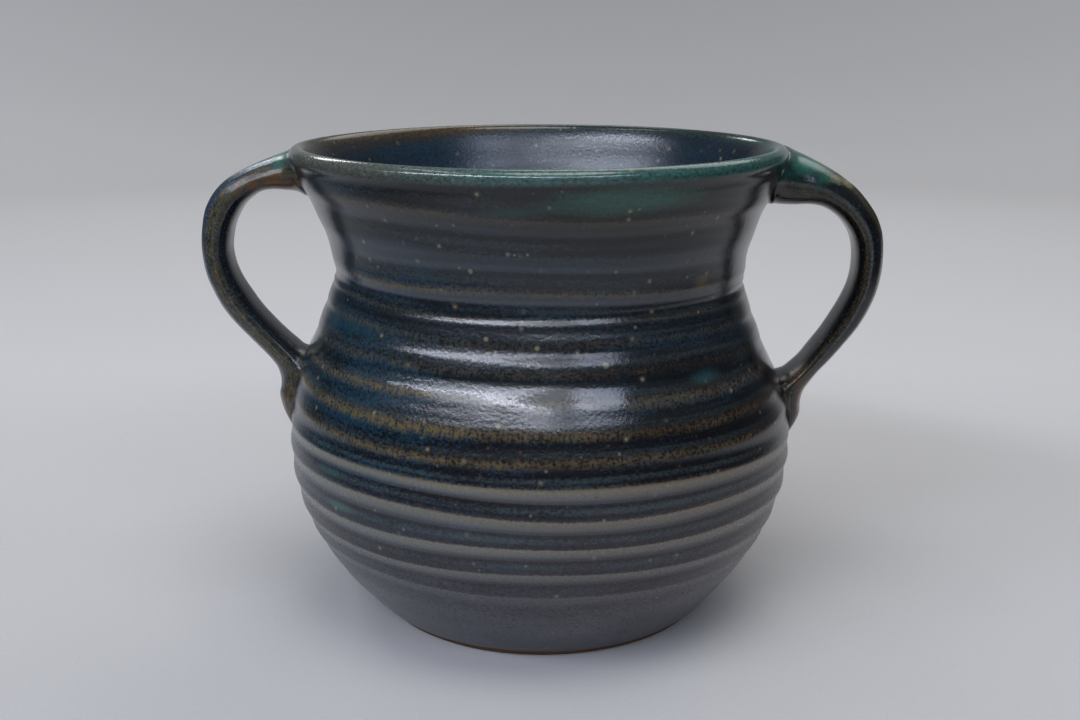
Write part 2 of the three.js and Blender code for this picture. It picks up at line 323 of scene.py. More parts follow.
def buildBody():
    profile = bodyProfile()
    deselectAll()
    bpy.ops.mesh.primitive_plane_add(size=1 * mm)
    piece = bpy.context.object
    piece.name = "thrown_pot"
    bpy.ops.object.mode_set(mode="EDIT")
    bpy.ops.mesh.select_mode(type="VERT")
    bpy.ops.mesh.merge(type="CENTER")
    bpy.ops.transform.translate(value=(profile[0][0] * mm, 0, profile[0][1] * mm))
    for (x0, z0), (x1, z1) in zip(profile[:-1], profile[1:]):
        step = ((x1 - x0) * mm, 0, (z1 - z0) * mm)
        bpy.ops.mesh.extrude_region_move(TRANSFORM_OT_translate={"value": step})
    bpy.ops.mesh.select_all(action="SELECT")
    bpy.ops.mesh.spin(steps=body["columns"], angle=2 * math.pi, center=(0, 0, 0), axis=(0, 0, 1))
    bpy.ops.mesh.select_all(action="SELECT")
    bpy.ops.mesh.remove_doubles(threshold=0.02 * mm)
    bpy.ops.mesh.normals_make_consistent(inside=False)
    bpy.ops.object.mode_set(mode="OBJECT")
    bpy.ops.object.shade_smooth()

    co = pointsOf(piece)
    radius = np.hypot(co[:, 0], co[:, 1])
    around = np.arctan2(co[:, 0], -co[:, 1])
    height = co[:, 2].copy()
    radii, heights = zip(*body["outside"])
    wall = np.interp(height, heights, radii)
    isOutside = (radius > wall - body["skin"]) & (height > body["footTop"])
    index, turn = ringTurn(height, around)
    relief = np.interp(index, np.arange(len(body["relief"])), body["relief"])
    relief = relief * (1 + 0.22 * np.sin(3 * around + index * 2.3) + 0.14 * np.sin(7 * around - index))
    press = relief * (ringRelief(turn) - 0.5) * (1 - smooth(*body["reliefEnds"], height))
    # the ledges of the shoulder follow the same spiral
    climbTurn = body["climbTurn"]
    goesDown = np.sign(around) * climbTurn * (math.pi - np.abs(around)) / (math.pi - climbTurn)
    turnBack = np.where(np.abs(around) < climbTurn, around, goesDown)
    climb = body["climb"] * turnBack / (2 * math.pi)
    climbed = height + climb * smooth(*body["ledgeFrom"], height) * (1 - smooth(*body["ledgeTo"], height))
    press = press + np.interp(climbed, heights, radii) - wall
    _, innerTurn = ringTurn(height + body["insideLift"], around + body["insideTurn"])
    innerFade = smooth(*body["insideFrom"], height) * (1 - smooth(*body["insideTo"], height))
    innerPress = body["insideRelief"] * (ringRelief(innerTurn) - 0.5) * innerFade
    move = np.where(isOutside, press, innerPress)
    # the rim is drawn out a little where each handle joins it
    pull = np.where(around < 0, body["leftPull"], body["rightPull"])
    fromHandle = (np.abs(around) - math.pi / 2) / body["pullWidth"]
    pull = pull * np.exp(-fromHandle ** 2) * smooth(*body["pullHeights"], height)
    move = move + pull
    scale = np.where(radius > 1, (radius + move) / np.maximum(radius, 1e-6), 1)
    co[:, 0] *= scale
    co[:, 1] *= scale
    co[:, 0] += body["lean"] * smooth(*body["leanHeights"], height)
    putPoints(piece, co)

    # the ring count goes on the face corners, so that it runs on unbroken where the turn closes at the back
    mesh = piece.data
    corner = np.empty(len(mesh.loops), int)
    mesh.loops.foreach_get("vertex_index", corner)
    sizes = np.empty(len(mesh.polygons), int)
    mesh.polygons.foreach_get("loop_total", sizes)
    middle = np.empty(len(mesh.polygons) * 3)
    mesh.polygons.foreach_get("center", middle)
    middle = np.repeat(middle.reshape(-1, 3), sizes, axis=0)
    middleAround = np.arctan2(middle[:, 0], -middle[:, 1])
    cornerAround = around[corner]
    cornerAround = cornerAround - 2 * math.pi * np.rint((cornerAround - middleAround) / (2 * math.pi))
    made = mesh.attributes.new("rings", "FLOAT", "CORNER")
    made.data.foreach_set("value", ringTurn(height[corner], cornerAround)[1].astype(np.float32))
    # the height read along the spiral, so that the tones follow the rings round the pot
    putAttribute(piece, "level", (height + climb) / levelSpan)
    isInner = np.where(isOutside | (height < 5), 0.0, smooth(*body["innerFrom"], height))
    putAttribute(piece, "inner", isInner)
    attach(piece, "root")
    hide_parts("thrown_body")
    return piece


pot = buildBody()
print("body thrown,", len(pot.data.polygons), "faces")

# Strap handles, pulled: each station is an outer and an inner point (distance, height), then the breadth
handles = {
    "left": {
        "side": -1,
        "stations": [
            (58.7, 114.4, 55.9, 105.4, 20.0), (60.2, 115.5, 58.6, 105.6, 21.5),
            (63.2, 114.9, 62.3, 105.9, 19.5), (66.8, 113.6, 65.8, 106.1, 17.6),
            (70.4, 112.2, 68.9, 105.5, 16.0), (74.3, 110.4, 71.5, 103.9, 15.0),
            (78.0, 108.2, 73.6, 102.0, 14.4), (81.0, 105.1, 75.2, 99.6, 14.0),
            (83.1, 101.3, 76.5, 96.9, 13.7), (84.1, 97.0, 77.2, 94.3, 13.5),
            (84.55, 92.5, 77.6, 91.2, 13.4), (84.3, 88.2, 77.3, 88.2, 13.4),
            (83.5, 84.2, 76.6, 85.6, 13.4), (81.9, 80.2, 75.4, 82.8, 13.4),
            (79.8, 76.2, 73.6, 79.8, 13.4), (76.8, 72.2, 71.2, 76.2, 13.4),
            (73.2, 68.3, 67.9, 72.4, 13.5), (69.7, 64.6, 64.6, 69.0, 13.8),
            (67.3, 61.6, 61.6, 66.2, 14.6), (66.4, 58.8, 58.8, 63.2, 15.8),
            (66.4, 56.4, 58.2, 59.2, 16.6), (66.8, 54.4, 59.4, 55.2, 16.8),
            (66.4, 52.0, 60.4, 52.0, 16.0), (65.8, 49.6, 61.1, 49.6, 14.0),
            (64.9, 47.4, 61.6, 47.4, 11.2), (63.9, 45.4, 62.0, 45.6, 7.4), (63.2, 44.0, 62.3, 44.4, 3.0),
        ],
    },
    "right": {
        "side": 1,
        "stations": [
            (58.3, 115.7, 55.8, 103.0, 22.0), (60.3, 115.9, 57.8, 102.5, 23.0),
            (63.6, 114.6, 61.6, 102.3, 20.0), (67.3, 112.8, 65.4, 102.4, 18.8),
            (70.9, 110.9, 68.6, 101.8, 16.8), (74.4, 108.7, 71.2, 100.5, 15.4),
            (77.5, 106.2, 73.4, 98.8, 14.6), (80.2, 103.1, 75.2, 96.8, 14.2),
            (82.5, 99.7, 76.7, 94.4, 13.8), (84.0, 96.0, 77.5, 91.8, 13.6),
            (84.6, 92.6, 77.8, 89.4, 13.4), (84.75, 88.4, 77.8, 86.6, 13.4),
            (84.4, 84.2, 77.5, 83.8, 13.4), (83.4, 79.9, 76.7, 80.7, 13.4),
            (81.6, 75.5, 75.2, 77.2, 13.4), (79.2, 71.2, 73.2, 73.6, 13.4),
            (76.2, 67.2, 70.8, 69.8, 13.5), (72.9, 63.2, 68.0, 66.0, 13.8),
            (70.1, 60.2, 65.6, 62.6, 14.2), (68.0, 57.5, 62.8, 59.8, 15.0),
            (66.4, 55.0, 60.2, 57.4, 15.8), (65.7, 52.2, 60.0, 54.0, 16.2),
            (65.7, 49.4, 60.8, 50.4, 15.6), (65.0, 47.0, 61.3, 47.6, 13.0), (63.9, 44.9, 61.8, 45.3, 9.5),
            (63.2, 43.2, 62.2, 43.6, 5.0),
        ],
    },
    "around": 64,          # points round the strap
    "gap": 0.7,            # distance between its cross-sections
    "outerRound": 2.15,    # squareness of the outer half of the section, 2 being an ellipse
    "innerRound": 2.9,     # and of the inner half
    # ridges drawn along the strap by the fingers: degrees from the outer face, width, height in mm
    "ridges": [(107, 7, 0.3), (91, 4.5, 0.3), (26, 8, 0.2), (70, 14, -0.2)],
    "fadeTop": 14, "fadeTail": 10,  # the ridges come in over these lengths at the two ends
    # the clay smoothed over each join: how far it spreads, and how near the pot it starts
    "spread": 2.2, "spreadWithin": 3.0, "spreadTail": 0.7,
    "wrapRadius": 62,      # curve of the pot that both ends are pressed round
    "top": 116.8,          # nothing stands higher
}


def buildHandle(name, replaced):
    settings = handles[name]
    line = evenly(curveThrough(settings["stations"], 12), handles["gap"])
    count, around = len(line), handles["around"]
    deselectAll()
    bpy.ops.mesh.primitive_circle_add(vertices=around, radius=5 * mm, fill_type="NGON")
    piece = bpy.context.object
    piece.name = name + "_strap_handle"
    bpy.ops.object.mode_set(mode="EDIT")
    bpy.ops.mesh.select_mode(type="FACE")
    bpy.ops.mesh.select_all(action="SELECT")
    for _ in range(count - 1):
        bpy.ops.mesh.extrude_region_move(TRANSFORM_OT_translate={"value": (0, 0, 1 * mm)})
    bpy.ops.object.mode_set(mode="OBJECT")

    co = pointsOf(piece)
    ring = np.clip(np.rint(co[:, 2]).astype(int), 0, count - 1)
    turn = np.arctan2(co[:, 1], co[:, 0])
    outer, inner = line[:, :2], line[:, 2:4]
    centre = (outer + inner) / 2
    thick = np.hypot(*(outer - inner).T) / 2
    outward = (outer - inner) / (2 * thick[:, None])
    broad = line[:, 4] / 2
    along = np.concatenate([[0], np.cumsum(np.hypot(*np.diff(centre, axis=0).T))])
    c, s = np.cos(turn), np.sin(turn)
    square = np.where(c > 0, handles["outerRound"], handles["innerRound"])
    up = np.sign(c) * np.abs(c) ** (2 / square)
    across = np.sign(s) * np.abs(s) ** (2 / square)
    degrees = np.degrees(np.abs(turn))
    end = along[-1]
    fade = smooth(0, handles["fadeTop"], along) * smooth(end, end - handles["fadeTail"], along)
    ridges = [high * np.exp(-((degrees - at) / wide) ** 2) for at, wide, high in handles["ridges"]]
    grow = sum(ridges) * fade[ring]
    # the slight unevenness of a strap pulled by hand
    wave = 0.06 * np.sin(along / 7.3 + 1.0) + 0.04 * np.sin(along / 3.7)
    grow = grow + (wave * fade)[ring] * np.sin(2 * turn + along[ring] / 15)
    n = up * (thick[ring] + grow)
    b = across * (broad[ring] + grow)
    x = centre[ring, 0] + outward[ring, 0] * n
    z = centre[ring, 1] + outward[ring, 1] * n
    # both ends are pressed round the curve of the pot
    wrap = smooth(66, 56, z) + smooth(70, 60, x) * smooth(98, 106, z)
    # near the pot the section spreads out into it, all round at the top and little along the tail
    radii, heights = zip(*body["outside"])
    wall = np.interp(z, heights, radii) + body[name + "Pull"] * smooth(*body["pullHeights"], z)
    bent = x - wrap * b ** 2 / (2 * handles["wrapRadius"])
    off = np.hypot(bent - settings["side"] * body["lean"], b) - wall
    near = np.clip(1 - off / handles["spreadWithin"], 0, 1) ** 2
    amount = handles["spreadTail"] + (handles["spread"] - handles["spreadTail"]) * smooth(54, 60, z)
    amount = amount * (1 - 0.8 * smooth(end - 12, end - 4, along[ring]))
    n = n + near * amount * up * np.where(z > 100, np.where(up > 0, 0.2, 0.45), 1.0)
    b = b + near * amount * across
    x = centre[ring, 0] + outward[ring, 0] * n
    z = np.minimum(centre[ring, 1] + outward[ring, 1] * n, handles["top"])
    x = x - wrap * b ** 2 / (2 * handles["wrapRadius"])
    putPoints(piece, np.column_stack([settings["side"] * x, b, z]))
    bpy.ops.object.mode_set(mode="EDIT")
    bpy.ops.mesh.select_all(action="SELECT")
    bpy.ops.mesh.normals_make_consistent(inside=False)
    bpy.ops.object.mode_set(mode="OBJECT")
    bpy.ops.object.shade_smooth()
    putAttribute(piece, "along", along[ring] / 100)
    putAttribute(piece, "across", degrees / 180)
    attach(piece, "root")
    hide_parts(*replaced)
    return piece


leftHandle = buildHandle("left", ["left_handle", "left_upper_luting", "left_lower_luting"])
rightHandle = buildHandle("right", ["right_handle", "right_upper_luting", "right_lower_luting"])
print("handles pulled")

# Glaze: satin stoneware, blue-black where it pools, grey where it thins and as a painted reflection on the
# lower face of each ring, ochre where it breaks on a crest
glaze = {
    # dark tone of the pooled glaze by height in mm; the lighter tones near the foot are partly the glaze's
    # own grey and partly a painted reflection of the floor
    "tones": [(0, "#35383f"), (5, "#42454d"), (14, "#494a51"), (24, "#312f37"), (36, "#212028"),
              (48, "#101118"), (54, "#080a10"), (70, "#091118"), (84, "#101820"), (96, "#11181f"),
              (104, "#0a0b0e"), (117, "#0a1010")],
    # tone and strength of the grey on the lower face of each ring, partly thin glaze and partly a painted
    # reflection
    "ledgeTones": [(0, "#43464c"), (20, "#5a5d61"), (34, "#73726b"), (50, "#6d6b60"), (57, "#15222c"),
                   (84, "#3f4343"), (90, "#353e47"), (98, "#29333c"), (106, "#3d3a37")],
    "ledgeByHeight": [(0, 0.0), (13, 0.1), (20, 0.6), (28, 0.95), (48.8, 0.95), (50.3, 0.15), (52, 0.0),
                      (82.5, 0.05), (84.5, 0.85), (97, 0.7), (102, 0.4), (106, 0.8), (108, 0.5),
                      (110, 0.1)],
    # how strongly and how widely the glaze breaks to ochre on the crests
    "ochreByHeight": [(0, 0.0), (17, 0.0), (24, 0.15), (36, 0.35), (43, 0.5), (50, 0.65), (53, 0.95),
                      (61, 0.95), (67, 0.7), (70, 0.45), (73, 0.35), (84, 0.35), (89, 0.6), (95, 0.1),
                      (104, 0.2), (108, 0.35)],
    "ochreWidth": [(0, 0.06), (45, 0.09), (50, 0.13), (53, 0.27), (66, 0.3), (90, 0.2), (107, 0.14)],
    "leftTint": (1.0, 1.06, 1.1), "rightTint": (1.05, 0.9, 0.82),
    "blue": "#0f2c40", "teal": "#16353a", "tealLine": "#38464a", "ledgeBlue": "#4c545c", "ochre": "#5e5235",
    "inside": "#0c2230", "insideBrown": "#352a1a",
    "rimTeal": "#3b5451", "rimGreen": "#284c47", "rimGrey": "#454a44", "rimBrown": "#3a3120",
    "rimDark": "#1d2b2a",
    "clay": "#6b4a2e", "cream": "#857e69", "rust": "#63361b",
    "mottle": 0.55,     # size of the mottling in mm
    "peel": 0.8,        # size of the orange peel in mm
}
# where the copper glaze ran, iron shows or the glaze is thin, and where a reflection is painted: centre,
# half sizes, colour, strength
bodyRuns = [
    ((20, -53, 110.2), (19, 14, 3.0), "#2b5548", 0.85),  # green run under the rim
    ((-7, -57, 107.8), (9, 6, 1.2), "#24453f", 0.5),  # green, further left
    ((-48, -40, 46.3), (5, 6, 1.2), "#2a5149", 0.6),  # green in two grooves at the left
    ((-46, -42, 38.2), (6, 6, 1.2), "#426b5f", 0.6),
    ((38, -43, 69.0), (5, 5, 1.6), "#244c50", 0.55),  # teal on the right of the shoulder
    ((36, -36, 89.0), (2.4, 4, 2.0), "#5a4c26", 0.6),  # ochre drip on the neck
    ((-36, -41, 98.6), (15, 13, 1.9), "#3a4550", 0.55),  # pale streaks on the left of the neck
    ((56.5, -9, 113.6), (6, 9, 3.2), "#5a5150", 0.75),  # pale patch under the right handle, a painted reflection of the light on the flared corner
    ((-42, -24, 9), (22, 24, 17), "#6c6c6d", 0.6),  # painted reflection of the floor, paler towards the foot at each side
    ((42, -26, 13), (20, 22, 17), "#6a6a6d", 0.4),
    ((-14, 54, 109.5), (17, 12, 3.5), "#2b5548", 0.7),  # the same runs behind
    ((30, 50, 60.0), (8, 8, 2.0), "#244c50", 0.5),
]
leftRuns = [
    ((-64, 0, 114.5), (6.1, 12.2, 3.5), "#1f5449", 0.9),  # green pool on top of the root
    ((-64, -9, 107.0), (9, 7, 3.2), "#5c3a16", 0.9),  # rust under the root
    ((-65.6, -6, 49.0), (3, 8, 8), "#5c3a16", 0.85),  # rust on the tail
]
rightRuns = [
    ((64, -3, 112.8), (12, 14, 6), "#23594f", 0.95),  # green pool on top of the root
    ((66.5, -6, 53.0), (4, 9, 8), "#6b451a", 0.7),  # rust on the tail
    ((74, -3, 108.6), (9, 4, 1.8), "#867c5f", 0.8),  # olive edge of the pool, lightened into a painted highlight along the upper ridge
]
# larger specks of grog and iron: x, height, size in mm
specks = [(-12.2, 79.6, 0.75, "cream"), (-10.2, 77.0, 0.55, "cream"), (-1.2, 78.0, 0.7, "cream"),
          (13.8, 74.3, 1.05, "cream"), (-9.5, 62.3, 0.75, "cream"), (3.1, 22.8, 0.7, "cream"),
          (11.5, 47.2, 0.6, "rust"), (34.3, 57.6, 0.65, "rust"), (-19.5, 86.5, 0.6, "rust"),
          (5.0, 89.4, 0.7, "rust"), (-15.5, 94.3, 0.7, "cream"), (-6.0, 98.5, 0.4, "cream"),
          (-3.2, 98.6, 0.45, "cream"), (13.2, 42.0, 0.55, "cream"), (9.6, 60.6, 0.6, "rust"),
          (42.5, 74.0, 0.7, "rust")]


def addRuns(tree, colour, spot, rag, runs):
    # runs and patches with ragged edges laid over the colour so far
    for centre, halfSizes, runTone, strength in runs:
        shift = node(tree, "VectorMath", {"operation": "SUBTRACT", 1: [v * mm for v in centre], 0: spot})
        fit = node(tree, "VectorMath", {"operation": "MULTIPLY", 1: [1 / (v * mm) for v in halfSizes],
                                        0: shift})
        away = node(tree, "VectorMath", {"operation": "LENGTH", 0: fit}, output="Value")
        ragged = node(tree, "Math", {"operation": "MULTIPLY_ADD", 1: 3.2, 0: rag, 2: away})
        share = node(tree, "MapRange", {"From Min": 2.75, "From Max": 1.75, "To Max": strength,
                                        "Value": ragged})
        colour = node(tree, "Mix", {"data_type": "RGBA", 7: linear(runTone), 0: share, 6: colour},
                      output=2)
    return colour


def glazeBody(piece):
    made, tree, shader = newMaterial("satin_glazed_stoneware")  # deep mottled tones under a soft shine
    spot = node(tree, "TexCoord", output="Object")
    rings = node(tree, "Attribute", {"attribute_name": "rings"}, output="Fac")
    level = node(tree, "Attribute", {"attribute_name": "level"}, output="Fac")
    inner = node(tree, "Attribute", {"attribute_name": "inner"}, output="Fac")
    placeX, placeY, placeZ = node(tree, "SeparateXYZ", {0: spot}).node.outputs

    # mottling drawn out sideways by the wheel, short runs down the wall, and wide clouds
    drawn = node(tree, "Mapping", {"Scale": (0.7, 0.7, 1.0), "Vector": spot})
    mottle = node(tree, "TexNoise", {"Scale": 1000 / glaze["mottle"], "Detail": 3.0, "Roughness": 0.6,
                                     "Vector": drawn})
    hung = node(tree, "Mapping", {"Scale": (1.0, 1.0, 0.3), "Vector": spot})
    streak = node(tree, "TexNoise", {"Scale": 1600.0, "Detail": 2.0, "Vector": hung})
    smear = node(tree, "Mapping", {"Scale": (0.22, 0.22, 1.0), "Vector": spot})
    cloud = node(tree, "TexNoise", {"Scale": 150.0, "Detail": 4.0, "Roughness": 0.6, "Vector": smear})

    # place within a ring, a little past the half on its crest, with ragged edges
    nudge = node(tree, "Math", {"operation": "MULTIPLY_ADD", 1: 0.07, 0: mottle, 2: rings})
    # the edges hang down in short drips, most of them on the left
    drips = node(tree, "MapRange", {"From Min": 0.02, "From Max": -0.05, "To Min": -0.03, "To Max": -0.2,
                                    "Value": placeX})
    runny = bandsFrom(tree, level, [(0, 0.12), (44, 0.18), (53, 1.0), (85, 1.0), (95, 0.4)], levelSpan)
    hang = node(tree, "Math", {"operation": "SUBTRACT", 1: 0.5, 0: streak})
    hang = node(tree, "Math", {"operation": "MULTIPLY", 0: hang, 1: runny})
    nudged = node(tree, "Math", {"operation": "MULTIPLY_ADD", 0: hang, 1: drips, 2: nudge})
    shifted = node(tree, "Math", {"operation": "ADD", 1: 0.53, 0: nudged})
    part = node(tree, "Math", {"operation": "FRACT", 0: shifted})

    tone = bandsFrom(tree, level, glaze["tones"], levelSpan)
    light = node(tree, "MapRange", {"From Min": 0.3, "From Max": 0.72, "To Min": 0.45, "To Max": 1.6,
                                    "Value": mottle})
    clouded = node(tree, "MapRange", {"From Min": 0.3, "From Max": 0.7, "To Min": 0.7, "To Max": 1.35,
                                      "Value": cloud})
    lightBoth = node(tree, "Math", {"operation": "MULTIPLY", 0: light, 1: clouded})
    lit = node(tree, "VectorMath", {"operation": "SCALE", 0: tone, "Scale": lightBoth})

    # blue and teal grains, most of them to the left and on the neck
    toLeft = node(tree, "MapRange", {"From Min": 0.02, "From Max": -0.06, "To Min": -0.12, "To Max": 0.1,
                                     "Value": placeX})
    grains = node(tree, "Math", {"operation": "ADD", 0: mottle, 1: cloud})
    grainsLeft = node(tree, "Math", {"operation": "ADD", 0: grains, 1: toLeft})
    nearCrest = bandsFrom(tree, part, [(0.0, 0.3), (0.2, 0.0), (0.38, 0.2), (0.5, 1.0), (0.76, 1.0),
                                       (0.9, 0.4)])
    grainsNear = node(tree, "Math", {"operation": "MULTIPLY_ADD", 1: 0.17, 0: nearCrest, 2: grainsLeft})
    highUp = bandsFrom(tree, level, [(0, 0.0), (20, 0.1), (40, 0.5), (50, 1.0), (90, 1.0), (112, 0.6)],
                       levelSpan)
    blueShare = node(tree, "MapRange", {"From Min": 1.04, "From Max": 1.3, "To Max": 0.95,
                                        "Value": grainsNear})
    blueHere = node(tree, "Math", {"operation": "MULTIPLY", 0: blueShare, 1: highUp})
    tealer = node(tree, "MapRange", {"From Min": 0.45, "From Max": 0.6, "Value": streak})
    blueTone = node(tree, "Mix", {"data_type": "RGBA", 6: linear(glaze["blue"]), 7: linear(glaze["teal"]),
                                  0: tealer}, output=2)
    blued = node(tree, "Mix", {"data_type": "RGBA", 0: blueHere, 6: lit, 7: blueTone}, output=2)
    # a thin teal line down the middle of each dark groove, coming and going
    middle = bandsFrom(tree, part, [(0.0, 0.0), (0.13, 0.0), (0.21, 1.0), (0.31, 1.0), (0.41, 0.0)])
    lowDown = bandsFrom(tree, level, [(0, 0.0), (16, 0.0), (24, 0.6), (48, 0.7), (55, 0.3), (80, 0.3)],
                        levelSpan)
    comes = node(tree, "Math", {"operation": "ADD", 0: cloud, 1: mottle})
    comes = node(tree, "MapRange", {"From Min": 0.85, "From Max": 1.12, "To Min": 0.25, "Value": comes})
    tealHere = node(tree, "Math", {"operation": "MULTIPLY", 0: middle, 1: lowDown})
    tealShare = node(tree, "Math", {"operation": "MULTIPLY", 0: tealHere, 1: comes})
    blued = node(tree, "Mix", {"data_type": "RGBA", 7: linear(glaze["tealLine"]), 0: tealShare, 6: blued},
                 output=2)

    # grey on the lower face of a ring, partly where the glaze thins and partly a painted reflection; ochre
    # and rust on the crest itself
    ledge = bandsFrom(tree, part, [(0.0, 0.3), (0.05, 0.0), (0.54, 0.0), (0.6, 1.0), (0.88, 0.85),
                                   (1.0, 0.3)])
    ledgeBy = bandsFrom(tree, level, glaze["ledgeByHeight"], levelSpan)
    ledgeShare = node(tree, "Math", {"operation": "MULTIPLY", 0: ledge, 1: ledgeBy})
    ledgeTone = bandsFrom(tree, level, glaze["ledgeTones"], levelSpan)
    fleck = node(tree, "MapRange", {"From Min": 0.3, "From Max": 0.72, "To Min": 0.88, "To Max": 1.14,
                                    "Value": mottle})
    ledgeTone = node(tree, "VectorMath", {"operation": "SCALE", 0: ledgeTone, "Scale": fleck})
    # each grey band cools to blue along its lower edge
    lowEdge = bandsFrom(tree, part, [(0.6, 0.0), (0.78, 0.1), (0.94, 0.85)])
    ledgeTone = node(tree, "Mix", {"data_type": "RGBA", 7: linear(glaze["ledgeBlue"]), 0: lowEdge,
                                   6: ledgeTone}, output=2)
    greyed = node(tree, "Mix", {"data_type": "RGBA", 0: ledgeShare, 6: blued, 7: ledgeTone}, output=2)
    fromCrest = node(tree, "Math", {"operation": "SUBTRACT", 1: 0.585, 0: part})
    farFrom = node(tree, "Math", {"operation": "ABSOLUTE", 0: fromCrest})
    width = bandsFrom(tree, level, glaze["ochreWidth"], levelSpan)
    line = node(tree, "MapRange", {"From Max": 0.0, "Value": farFrom, "From Min": width})
    ochreBy = bandsFrom(tree, level, glaze["ochreByHeight"], levelSpan)
    wide = node(tree, "Math", {"operation": "MULTIPLY", 0: line, 1: ochreBy})
    patchy = node(tree, "MapRange", {"From Min": 0.36, "From Max": 0.6, "To Min": 0.55, "To Max": 1.3,
                                     "Value": cloud})
    dotted = node(tree, "Math", {"operation": "ADD", 0: streak, 1: mottle})
    dotted = node(tree, "MapRange", {"From Min": 0.8, "From Max": 1.2, "To Min": 0.1, "To Max": 1.2,
                                     "Value": dotted})
    wide = node(tree, "Math", {"operation": "MULTIPLY", 0: wide, 1: dotted})
    # less ochre towards the right
    fewer = node(tree, "MapRange", {"From Min": -0.03, "From Max": 0.03, "To Min": 1.0, "To Max": 0.5,
                                    "Value": placeX})
    wide = node(tree, "Math", {"operation": "MULTIPLY", 0: wide, 1: fewer})
    ochreShare = node(tree, "Math", {"operation": "MULTIPLY", "use_clamp": True, 0: wide, 1: patchy})
    rusty = node(tree, "MapRange", {"From Min": 0.6, "From Max": 0.72, "Value": mottle})
    tan = node(tree, "Mix", {"data_type": "RGBA", 6: linear(glaze["ochre"]), 7: linear(glaze["rust"]),
                             0: rusty}, output=2)
    colour = node(tree, "Mix", {"data_type": "RGBA", 0: ochreShare, 6: greyed, 7: tan}, output=2)

    # bluer towards the left handle, browner towards the right one
    side = node(tree, "MapRange", {"From Min": -0.055, "From Max": 0.055, "Value": placeX})
    tint = node(tree, "Mix", {"data_type": "RGBA", 6: [*glaze["leftTint"], 1], 7: [*glaze["rightTint"], 1],
                              0: side}, output=2)
    colour = node(tree, "VectorMath", {"operation": "MULTIPLY", 0: colour, 1: tint})

    rag = node(tree, "Mix", {"Factor": 0.6, 2: mottle, 3: cloud})
    colour = addRuns(tree, colour, spot, rag, bodyRuns)

    # inside: dark blue, brown for a few millimetres under the back of the lip
    insideTone = node(tree, "VectorMath", {"operation": "SCALE", 0: linear(glaze["inside"])[:3],
                                           "Scale": lightBoth})
    brownDeep = node(tree, "Math", {"operation": "MULTIPLY_ADD", 1: -0.006, 0: cloud, 2: placeZ})
    brownHigh = node(tree, "MapRange", {"From Min": 0.1085, "From Max": 0.112, "Value": brownDeep})
    brownSide = node(tree, "MapRange", {"From Min": -0.012, "From Max": -0.036, "To Min": 0.15,
                                        "Value": placeX})
    brownPatch = node(tree, "MapRange", {"From Min": 0.85, "From Max": 1.15, "To Min": 0.35,
                                         "Value": grains})
    brownBoth = node(tree, "Math", {"operation": "MULTIPLY", 0: brownHigh, 1: brownSide})
    brown = node(tree, "Math", {"operation": "MULTIPLY", 0: brownBoth, 1: brownPatch})
    insideAll = node(tree, "Mix", {"data_type": "RGBA", 7: linear(glaze["insideBrown"]), 0: brown,
                                   6: insideTone}, output=2)
    colour = node(tree, "Mix", {"data_type": "RGBA", 0: inner, 6: colour, 7: insideAll}, output=2)

    # the lip: teal in front, green to the right, grey to the left, brown behind
    lipEdge = node(tree, "Math", {"operation": "MULTIPLY_ADD", 1: 0.0022, 0: cloud, 2: placeZ})
    lipUp = node(tree, "Math", {"operation": "MULTIPLY_ADD", 1: -0.0014, 0: inner, 2: lipEdge})
    lip = node(tree, "MapRange", {"From Min": 0.1142, "From Max": 0.1156, "Value": lipUp})
    lipSide = node(tree, "MapRange", {"From Min": -0.06, "From Max": 0.06, "Value": placeX})
    lipFront = bandsFrom(tree, lipSide, [(0.0, glaze["rimGrey"]), (0.2, glaze["rimGrey"]),
                                         (0.42, glaze["rimTeal"]), (0.6, glaze["rimTeal"]),
                                         (0.8, glaze["rimGreen"])])
    back = node(tree, "MapRange", {"From Min": -0.02, "From Max": 0.03, "Value": placeY})
    lipBack = bandsFrom(tree, lipSide, [(0.0, glaze["rimBrown"]), (0.35, glaze["rimBrown"]),
                                        (0.5, glaze["rimDark"])])
    lipTone = node(tree, "Mix", {"data_type": "RGBA", 0: back, 6: lipFront, 7: lipBack}, output=2)
    lipLit = node(tree, "VectorMath", {"operation": "SCALE", 0: lipTone, "Scale": light})
    colour = node(tree, "Mix", {"data_type": "RGBA", 0: lip, 6: colour, 7: lipLit}, output=2)

    # fine specks everywhere: cream grog and rust-coloured iron
    cells = node(tree, "TexVoronoi", {"Scale": 260.0, "Vector": spot})
    dot = node(tree, "MapRange", {"From Min": 0.13, "From Max": 0.06, "To Max": 0.4, "Value": cells})
    kind = node(tree, "SeparateColor", {0: cells.node.outputs["Color"]})
    isRust = node(tree, "Math", {"operation": "GREATER_THAN", 1: 0.45, 0: kind})
    dotTone = node(tree, "Mix", {"data_type": "RGBA", 6: linear(glaze["cream"]), 7: linear(glaze["rust"]),
                                 0: isRust}, output=2)
    colour = node(tree, "Mix", {"data_type": "RGBA", 0: dot, 6: colour, 7: dotTone}, output=2)
